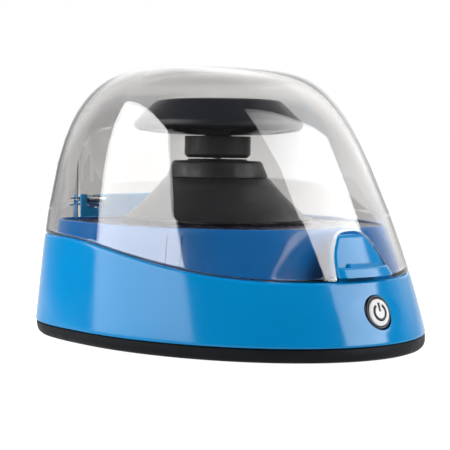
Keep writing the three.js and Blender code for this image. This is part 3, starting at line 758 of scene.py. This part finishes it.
def colour_lid_edges(lid):
    """Painted shade on the scoop's side walls, which look dark edge on; a painted highlight on the notch's
    cut faces, which are satin.
    """
    lid.data.materials.append(EDGE_ON_SHADE)
    lid.data.materials.append(NOTCH_EDGE_HIGHLIGHT)
    cut_half_width = NOTCH["low"][0] + 0.1
    cut_low_z = SEAM["front_z"] + SEAM_GAP + 0.1
    for face in lid.data.polygons:
        x, y, z = face.center / MM
        # Painted shade: the scoop's side walls take the darkened clear plastic.
        if abs(face.normal.x) > 0.95 and abs(abs(x) - RECESS["half_width"]) < 0.2 and y > 40:
            face.material_index = 1
        # Painted highlight: the notch's cut faces take the pale satin edge material.
        elif y < -50 and abs(face.normal.y) < 0.01 and abs(x) < cut_half_width and z > cut_low_z:
            face.material_index = 2


# ------------------------------------------------------------------ motor cover and rotor

def make_motor_cover():
    """The flared cone over the motor, and the collar on top of it."""
    at = (0, ROTOR_Y, 0)
    flare = [(40.4, 48.7), (40.4, 49.4), (38.2, 50.2), (33.5, 54.2), (28.6, 59.0), (25.0, 63.0), (22.4, 66)]
    inside = [(19.6, 66), (22.6, 63.0), (30.4, 56.0), (38, 48.7)]
    cover = lathe("motor_cone", flare + inside, at)
    finish_piece(cover, "base", SATIN_BLACK, ["motor_cover"], angle=50)
    collar = [
        (5, 71), (17, 71), (19.4, 66.3), (21.8, 66.3), (21.3, 67.5), (19.4, 72.6), (18.4, 73.4), (13.0, 73.4),
        (12.7, 74.1), (5, 74.1),
    ]
    made = lathe("cone_collar", rounded(collar, 0.5), at)
    finish_piece(made, "base", GREY_BAND, ["cover_collar"], angle=35)


def socket_tools(start, end):
    """Cutters for the ring of slanted tube sockets, between two distances down their axes."""
    tools = []
    tilt = ROTOR_SOCKETS["tilt"]
    for i in range(ROTOR_SOCKETS["count"]):
        turn = 2 * math.pi * (i + 0.5) / ROTOR_SOCKETS["count"]
        ends = []
        for distance in (start, end):
            out = ROTOR_SOCKETS["ring_radius"] + distance * math.sin(tilt)
            height = ROTOR_SOCKETS["ring_z"] - distance * math.cos(tilt)
            ends.append((out * math.cos(turn), ROTOR_Y + out * math.sin(turn), height))
        tools.append(rod("socket", *ends, ROTOR_SOCKETS["radius"], 48))
    return tools


def make_rotor():
    """The disc with its eight sockets, the sleeve under it, and the grooved nut on top."""
    at = (0, ROTOR_Y, 0)
    profile = [
        (6, 97), (6, 84.2), (24, 84.8), (34.6, 86.2), (36.5, 88.2), (36, 90.2), (27.2, 98.8),
        (26, 99.4), (24.6, 99.2), (10, 93.6), (8.6, 97),
    ]
    disc = lathe("rotor_plate", rounded(profile, 0.9, 5), at, sides=160)
    combine(disc, socket_tools(-14, 26))
    soften(disc, 0.3, 2, 40)
    finish_piece(disc, "rotor", ROTOR_BLACK, ["rotor_disc"], angle=30)
    hub = [(1.9, 95.4), (1.9, 74.6), (12.8, 74.6), (14.2, 76), (14.2, 83.9), (5.7, 83.9), (5.7, 95.4)]
    made = lathe("rotor_sleeve", rounded(hub, 0.5), at)
    finish_piece(made, "rotor", GREY_BAND, ["rotor_hub"], angle=35)
    knob = lathe("rotor_nut", rounded([(0, 98.8), (6.3, 98.8), (7, 98.2), (7, 97.3), (0, 97.3)], 0.3), at)
    groove_count, groove_ring = 12, 7.6
    grooves = []
    for i in range(groove_count):
        turn = 2 * math.pi * i / groove_count
        x, y = groove_ring * math.cos(turn), ROTOR_Y + groove_ring * math.sin(turn)
        grooves.append(rod("grip", (x, y, 96), (x, y, 100), 1.0, 24))
    combine(knob, grooves)
    finish_piece(knob, "rotor", ROTOR_BLACK, ["rotor_knob"])


# ------------------------------------------------------------------ latch, button and socket

def front_surface(x, z, inset):
    """The front skin's y at this x and z."""
    length = WIDEST_Y - front_y(np.array(float(z)), inset)
    power = FRONT_PLAN_POWER["at_base"] + FRONT_PLAN_POWER["per_mm"] * z
    half = reach(SIDE, np.array(float(z)), inset)
    return float(WIDEST_Y - length * (1 - abs(x / half) ** power) ** (1 / power))


def sheet_between(name, outline_at, depth_front, depth_back, rows, columns):
    """A plate that follows the front skin: outline_at(share) gives a row's z and half-width."""
    points, faces = [], []
    for depth in (depth_front, depth_back):
        for i in range(rows + 1):
            z, half = outline_at(i / rows)
            for j in range(columns + 1):
                x = half * (2 * j / columns - 1)
                points.append((x, front_surface(x, z, depth(x, z)), z))
    width, layer = columns + 1, (rows + 1) * (columns + 1)
    for i in range(rows):
        for j in range(columns):
            a = i * width + j
            faces.append((a, a + 1, a + 1 + width, a + width))
            faces.append((layer + a, layer + a + width, layer + a + 1 + width, layer + a + 1))
    border = list(range(columns))
    border += [i * width + columns for i in range(rows)]
    border += [rows * width + columns - j for j in range(columns)]
    border += [(rows - i) * width for i in range(rows)]
    for k, a in enumerate(border):
        b = border[(k + 1) % len(border)]
        faces.append((a, layer + a, layer + b, b))
    return face_out(make_object(name, points, faces))


def make_latch():
    """The latch: a plate that fills the lid's notch, the lip to press, and the web on its pin."""
    outline = notch_outline(TAB_GAP, TAB_TOP_GAP)[2:]
    right = outline[: len(outline) // 2 + 1]
    heights = np.array([z for _, z in right])
    halves = np.array([x for x, _ in right])
    lowest, highest = TAB_LOW_Z, float(heights.max())

    def panel_outline(share):
        z = lowest + (highest - 0.02 - lowest) * (1 - (1 - share) ** 1.8)
        return z, max(float(np.interp(z, heights, halves)), 0.8)

    def face_depth(x, z):
        edge = float(np.interp(z, heights, halves)) - abs(x)
        bevel = max(0.0, 1 - edge / 1.0) ** 1.5 * 0.5
        crown = max(0.0, 1 - (highest - z) / 1.2) ** 1.5 * 0.9
        return 0.5 + max(bevel, crown)

    tab = sheet_between("latch_plate", panel_outline, face_depth, lambda x, z: 3.8, 40, 48)
    finish_piece(tab, "latch", BLUE, ["latch_tab"], angle=40)

    def lip_outline(share):
        return TAB_LOW_Z + LIP["height"] * share, LIP["half_width"] - LIP["taper"] * share

    def lip_depth(x, z):
        slope = (z - TAB_LOW_Z) / LIP["height"]
        side = max(0.0, 1 - (LIP["half_width"] - LIP["taper"] * slope - abs(x)) / 2.8)
        top = max(0.0, 1 - (1 - slope) * LIP["height"] / 0.8)
        return -2.3 + 0.5 * slope + 0.7 * side ** 1.8 + 0.7 * top ** 2

    lip = sheet_between("latch_lip", lip_outline, lip_depth, lambda x, z: 0.5, 16, 72)
    finish_piece(lip, "latch", BLUE, angle=40)
    low, high = box_mm("latch_pin")
    y, z = (low[1] + high[1]) / 2, (low[2] + high[2]) / 2
    section = [(y - 3, z), (y + 3, z), (y + 0.5, 36), (y - 4.0, 36), (y - 4.0, 33), (y - 1.4, 31)]
    web = prism("latch_web", section, -8, 8, axis="x")
    barrel = rod("barrel", (-12, y, z), (12, y, z), 3.0)
    combine(web, [barrel], "UNION")
    combine(web, [rod("bore", (-30, y, z), (30, y, z), 1.55, 32)])
    finish_piece(soften(web, 0.25, 2), "latch", BLUE)


def power_symbol(seat, axis):
    """The raised on-off mark: a ring open at the top, with a bar in the gap."""
    up_axis = Vector((0, math.sin(BUTTON_TILT), math.cos(BUTTON_TILT)))

    def stroke(name, points):
        curve = bpy.data.curves.new(name, "CURVE")
        curve.dimensions = "3D"
        curve.bevel_depth = 0.6 * MM
        curve.bevel_resolution = 4
        curve.use_fill_caps = True
        spline = curve.splines.new("POLY")
        spline.points.add(len(points) - 1)
        for point, (x, up) in zip(spline.points, points):
            spot = (Vector((x, 0, 0)) + up_axis * up + seat + axis * 0.35) * MM
            point.co = (*spot, 1)
        obj = link(bpy.data.objects.new(name, curve))
        mesh = bpy.data.meshes.new_from_object(obj.evaluated_get(bpy.context.evaluated_depsgraph_get()))
        bpy.data.objects.remove(obj)
        finish_piece(link(bpy.data.objects.new(name, mesh)), "button", GLOSS_BLACK)

    gap, radius = math.radians(34), 3.0
    turns = np.linspace(math.pi / 2 + gap, 5 * math.pi / 2 - gap, 40)
    stroke("power_mark_ring", [(radius * math.cos(t), radius * math.sin(t)) for t in turns])
    stroke("power_mark_bar", [(0, 0.2), (0, 1.9), (0, 3.6)])


def make_button():
    """The domed grey cap with its mark, in a gloss black ring."""
    seat, axis = button_frame()
    inner = BUTTON_RADIUS + 0.2
    ring = [
        (inner, -4.2), (BEZEL_RADIUS, -4.2), (BEZEL_RADIUS, -0.6), (BEZEL_RADIUS - 0.45, -0.1), (inner, -0.2),
    ]
    bezel = lathe("button_ring", rounded(ring, 0.35), seat, axis)
    finish_piece(bezel, "base", GLOSS_BLACK, ["button_bezel"])
    cap = [(0, -7), (2, -7), (2, -5.2), (BUTTON_RADIUS, -5.2), (BUTTON_RADIUS, -0.2)]
    turns = np.linspace(0.15, math.pi / 2 - 0.1, 10)
    dome = [(BUTTON_RADIUS * math.cos(t), BUTTON_DOME * math.sin(t)) for t in turns]
    made = lathe("button_cap", cap + dome + [(0, BUTTON_DOME)], seat, axis)
    finish_piece(made, "button", GREY_CAP, ["power_button"])
    power_symbol(seat, axis)


def make_hinge_shields():
    """A thin plate behind each of the lid's arms, standing on the hinge block's foot, in the blue brightened
    as painted light.
    """
    foot_y = box_mm("hinge_block")[1][1]
    for name, (x0, x1) in zip(("hinge_shield_left", "hinge_shield_right"), ARMS):
        shield = block(name, (x0 - 0.9, foot_y - 0.1, 44), (x1 + 0.9, foot_y + 0.8, HINGE_Z + 1.6))
        # Painted light: the shields take the brightened blue.
        finish_piece(soften(shield, 0.25), "base", HINGE_LIT_BLUE)


def make_jack_pin():
    """The centre pin inside the power socket."""
    y = box_mm("power_jack")[1][1]
    profile = rounded([(0, 0), (0.95, 0), (0.95, 6.6), (0.6, 7.2), (0, 7.2)], 0.2)
    pin = lathe("jack_pin", profile, (0, y - 9, JACK_Z), (0, 1, 0), 32)
    finish_piece(pin, "base", STEEL)


# ------------------------------------------------------------------ CAD nodes that stay

def dress_nodes():
    """A material for each CAD node that shows as it is, and the width of its rounded edges."""
    looks = {
        # Painted light: the hinge block takes the brightened blue.
        "hinge_block": (HINGE_LIT_BLUE, 0.35), "hinge_pin": (MOTOR_STEEL, 0.3), "latch_pin": (STEEL, 0.2),
        "latch_spring": (STEEL, 0),
        "motor_can": (MOTOR_STEEL, 0.4), "motor_end_cap": (SATIN_BLACK, 0.3),
        "motor_bracket": (SATIN_BLACK, 0.3),
        "motor_damper": (RUBBER, 0.2), "motor_shaft": (STEEL, 0.3), "button_switch": (SATIN_BLACK, 0.2),
        "switch_board": (BOARD, 0), "main_board": (BOARD, 0), "capacitor": (SATIN_BLACK, 0.4),
        "drive_transistor": (SATIN_BLACK, 0.2), "lid_sensor": (SATIN_BLACK, 0.3),
        "power_jack": (SATIN_BLACK, 0.3),
        "motor_lead_red": (RED_LEAD, 0), "motor_lead_black": (RUBBER, 0),
        "motor_screw_1": (STEEL, 0.2), "motor_screw_2": (STEEL, 0.2), "motor_screw_3": (STEEL, 0.2),
    }
    for name, (material, edge) in looks.items():
        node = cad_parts[name]
        for place in node.material_slots:
            place.material = material
        if edge:
            soften(node, edge, 3, 50)


# ------------------------------------------------------------------ stage, light and camera

def lit_panel(name, corners, centre, strength_top, strength_bottom):
    """A soft box that the camera does not see, its light going from one strength to another with height."""
    made = bpy.data.materials.new(name)
    made.use_nodes = True
    tree = made.node_tree
    tree.nodes.clear()
    output = tree.nodes.new("ShaderNodeOutputMaterial")
    glow = tree.nodes.new("ShaderNodeEmission")
    place = tree.nodes.new("ShaderNodeTexCoord")
    split = tree.nodes.new("ShaderNodeSeparateXYZ")
    scale = tree.nodes.new("ShaderNodeMapRange")
    scale.inputs["To Min"].default_value = strength_bottom
    scale.inputs["To Max"].default_value = strength_top
    tree.links.new(place.outputs["Generated"], split.inputs[0])
    tree.links.new(split.outputs["Z"], scale.inputs["Value"])
    tree.links.new(scale.outputs["Result"], glow.inputs["Strength"])
    tree.links.new(glow.outputs[0], output.inputs["Surface"])
    towards = Vector(centre).normalized()
    right = Vector((0, 0, 1)).cross(towards).normalized()
    up = towards.cross(right)
    middle = Vector((0, 5, 55)) + towards * 800
    points = [middle + right * a + up * b for a, b in corners]
    panel = make_object(name, [tuple(p) for p in points], [(0, 1, 2, 3)])
    panel.data.materials.append(made)
    panel.visible_camera = False
    panel.visible_shadow = False


def direction(azimuth, elevation):
    a, e = math.radians(azimuth), math.radians(elevation)
    return (math.sin(a) * math.cos(e), -math.cos(a) * math.cos(e), math.sin(e))


def make_lights():
    left = [(-565, 330), (300, 420), (500, -260), (-310, -400)]
    right = [(20, 430), (520, 90), (10, -430), (-610, -430)]
    lit_panel("soft_box_left", left, direction(-112, 22), 7.6, 4.2)
    lit_panel("soft_box_right", right, direction(40, 38), 1.2, 10)


def make_world(forward):
    """White for the camera; to the object, bright behind, more so to the right and high up, dim in front."""
    world = bpy.data.worlds.new("studio")
    bpy.context.scene.world = world
    world.use_nodes = True
    tree = world.node_tree
    tree.nodes.clear()
    output = tree.nodes.new("ShaderNodeOutputWorld")
    back = tree.nodes.new("ShaderNodeBackground")
    back.inputs["Color"].default_value = (1, 1, 1, 1)
    place = tree.nodes.new("ShaderNodeTexCoord")

    def ramp(axis, start, end, low, high):
        dot = tree.nodes.new("ShaderNodeVectorMath")
        dot.operation = "DOT_PRODUCT"
        dot.inputs[1].default_value = axis
        scale = tree.nodes.new("ShaderNodeMapRange")
        for key, value in (("From Min", start), ("From Max", end), ("To Min", low), ("To Max", high)):
            scale.inputs[key].default_value = value
        tree.links.new(place.outputs["Generated"], dot.inputs[0])
        tree.links.new(dot.outputs["Value"], scale.inputs["Value"])
        return scale.outputs["Result"]

    def combined(operation, first, second):
        node = tree.nodes.new("ShaderNodeMath")
        node.operation = operation
        tree.links.new(first, node.inputs[0])
        tree.links.new(second, node.inputs[1])
        return node.outputs[0]

    behind = ramp(forward, 0.3, 0.93, 0.04, 1.0)
    up = Vector((0, 0, 1))
    across = ramp(forward.cross(up).normalized(), -0.08, 0.08, 0.9, 1.25)
    upward = combined("ADD", ramp(up, -0.02, 0.05, 0.9, 0.68), ramp(up, 0.07, 0.2, 0, 0.6))
    path = tree.nodes.new("ShaderNodeLightPath")
    seen = combined("MULTIPLY", behind, combined("MULTIPLY", across, upward))
    strength = combined("MAXIMUM", seen, path.outputs["Is Camera Ray"])
    tree.links.new(strength, back.inputs["Strength"])
    tree.links.new(back.outputs[0], output.inputs["Surface"])


def make_floor():
    """A plain pale floor, a disc of rings, that glows a little more for the camera."""
    made = Nodes("white sweep")
    drift = made.colours(made.noise(3), (0.28, 0.28, 0.28), (0.3, 0.3, 0.3))
    made.link(drift, made.shader.inputs["Base Color"])
    made.link(made.spread(made.noise(20), 0.75, 0.9), made.shader.inputs["Roughness"])
    made.set("Emission Color", (1, 1, 1, 1))
    path = made.add("ShaderNodeLightPath").outputs["Is Camera Ray"]
    made.link(made.spread(path, 0.62, 0.95, 0, 1), made.shader.inputs["Emission Strength"])
    made.set("Specular IOR Level", 0)
    sides = 96
    turns = np.linspace(0, 2 * math.pi, sides, endpoint=False)
    rings = []
    for radius in np.linspace(200, 3000, 15):
        rings.append(np.stack([radius * np.cos(turns), radius * np.sin(turns), 0 * turns], axis=1))
    points = np.concatenate(rings + [np.zeros((1, 3))])
    faces = wrap_faces(len(rings), sides)
    faces += [(len(points) - 1, i, (i + 1) % sides) for i in range(sides)]
    floor = make_object("floor", points, faces)
    floor.data.materials.append(made.material)
    shade(floor)


def make_camera():
    """The camera of the main view; returns the direction that it looks along."""
    data = bpy.data.cameras.new("camera")
    data.lens = CAMERA["lens"]
    data.sensor_width = 36
    data.clip_end = 20
    camera = link(bpy.data.objects.new("camera", data))
    forward = Vector(CAMERA["forward"]).normalized()
    look = forward.to_track_quat("-Z", "Y").to_matrix().to_4x4()
    roll = Matrix.Rotation(CAMERA["roll"], 4, "Z")
    camera.matrix_world = Matrix.Translation(Vector(CAMERA["place"]) * MM) @ look @ roll
    bpy.context.scene.camera = camera
    return forward


make_base()
make_latch_ears()
make_base_plate()
make_feet()
make_base_screws()
make_bowl()
make_bowl_ribs()
make_lid()
make_motor_cover()
make_rotor()
make_latch()
make_button()
make_jack_pin()
make_hinge_shields()
dress_nodes()
make_floor()
make_lights()
make_world(make_camera())
bpy.context.scene.view_settings.view_transform = "Standard"
